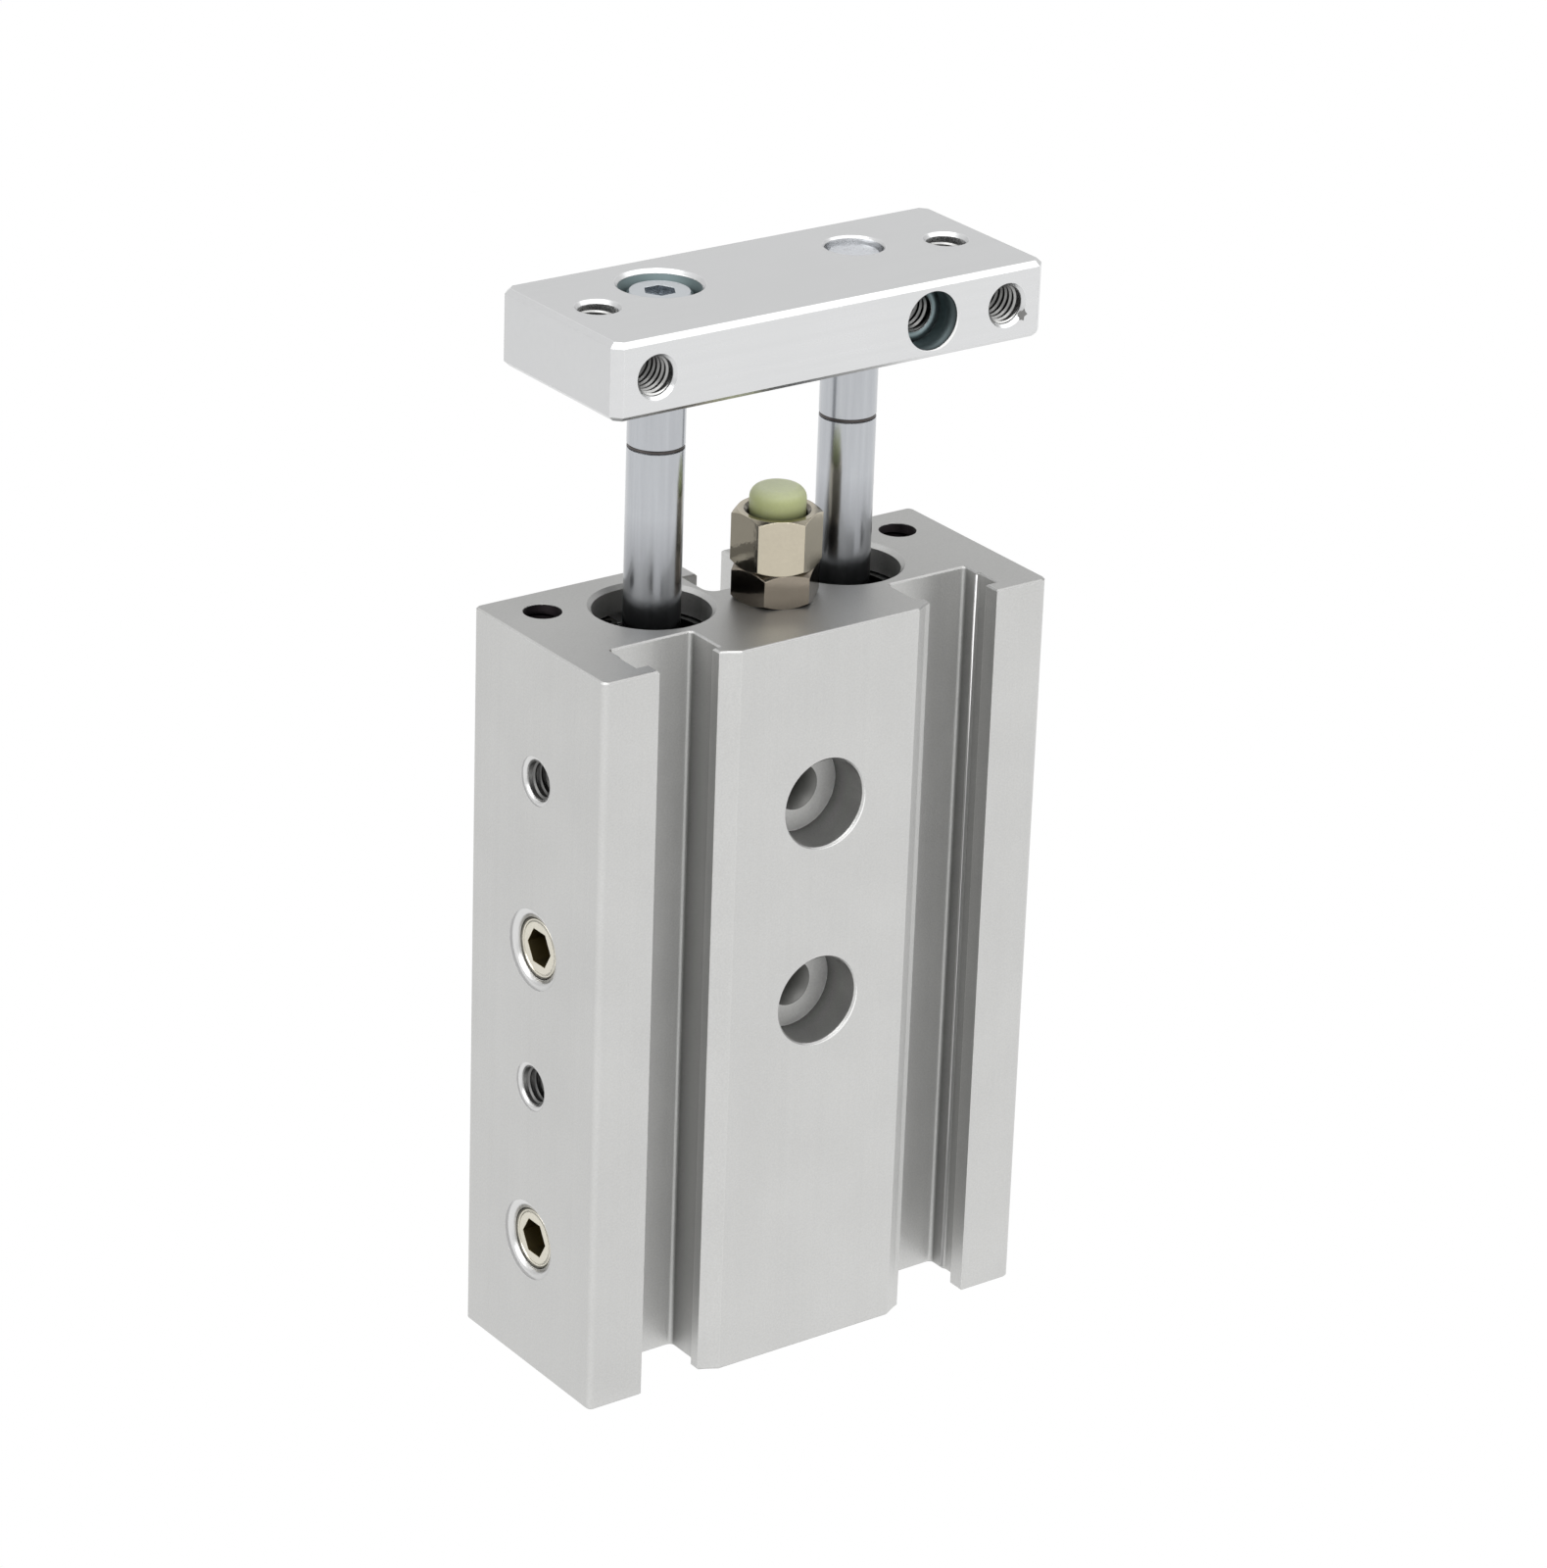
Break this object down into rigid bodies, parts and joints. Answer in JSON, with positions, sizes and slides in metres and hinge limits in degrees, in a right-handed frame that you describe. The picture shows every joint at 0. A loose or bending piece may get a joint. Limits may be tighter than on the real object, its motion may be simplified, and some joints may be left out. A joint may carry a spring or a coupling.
{
  "type": "guided pneumatic cylinder",
  "caption": "Guided air cylinder: grooved aluminium body with parallel chromed rods that carry an end plate, and a cushioned bumper bolt that the plate lands on.",
  "frame": {"origin": "middle of the body's lower end face, the head end", "axes": "+Z along the rods towards the end plate, -Y out of the front face with the grooves and the counterbored holes, +X towards the open ports"},
  "size_m": [0.037, 0.016, 0.0781],
  "materials": {
    "body_aluminium": "satin clear anodised extrusion",
    "plate_aluminium": "fine milled, clear anodised",
    "inner_aluminium": "turned",
    "rod_chrome": "polished, hard chromed",
    "nickel_steel": "nickel plated",
    "zinc_steel": "blue zinc plated",
    "black_steel": "black oxide",
    "plug_brass": "nickel plated brass, worn",
    "magnet_black": "bonded magnet, dull",
    "nitrile_rubber": "matt black",
    "cushion_urethane": "soft translucent pale green"
  },
  "bodies": {
    "cylinder": {"housing": "body_aluminium", "lock_nut": "nickel_steel", "port_plug_upper": "plug_brass", "port_plug_lower": "plug_brass", "rod_cover_left": "inner_aluminium", "rod_cover_o_ring_left": "nitrile_rubber", "rod_seal_left": "nitrile_rubber", "seal_retainer_left": "black_steel", "rod_end_ring_left": "black_steel", "rod_end_damper_left": "nitrile_rubber", "head_cover_left": "inner_aluminium", "head_cover_o_ring_left": "nitrile_rubber", "head_end_ring_left": "black_steel", "head_end_damper_left": "nitrile_rubber", "rod_cover_right": "inner_aluminium", "rod_cover_o_ring_right": "nitrile_rubber", "rod_seal_right": "nitrile_rubber", "seal_retainer_right": "black_steel", "rod_end_ring_right": "black_steel", "rod_end_damper_right": "nitrile_rubber", "head_cover_right": "inner_aluminium", "head_cover_o_ring_right": "nitrile_rubber", "head_end_ring_right": "black_steel", "head_end_damper_right": "nitrile_rubber"},
    "carriage": {"rod_left": "rod_chrome", "rod_right": "rod_chrome", "end_plate": "plate_aluminium", "cap_screw": "zinc_steel", "clamp_screw": "black_steel", "piston_left": "inner_aluminium", "piston_seal_left": "nitrile_rubber", "magnet_left": "magnet_black", "magnet_holder_left": "inner_aluminium", "piston_right": "inner_aluminium", "piston_seal_right": "nitrile_rubber", "magnet_right": "magnet_black", "magnet_holder_right": "inner_aluminium"},
    "bumper_lift": {"cushion": "cushion_urethane"},
    "bumper_turn": {"bumper_bolt": "nickel_steel"}
  },
  "joints": [
    {"name": "rod_slide", "type": "slide", "parent": "cylinder", "child": "carriage", "axis": [0, 0, 1], "range_m": [-0.009, 0]},
    {"name": "bolt_lift", "type": "slide", "parent": "cylinder", "child": "bumper_lift", "axis": [0, 0, 1], "range_m": [0, 0.0005]},
    {"name": "bolt_turn", "type": "hinge", "parent": "bumper_lift", "child": "bumper_turn", "pos_m": [0.00035, -0.0008, 0], "axis": [0, 0, 1], "range_deg": [0, 360]}
  ],
  "couplings": [
    {"joint": "bolt_turn", "follows": "bolt_lift", "rad_per_m": 12566}
  ]
}
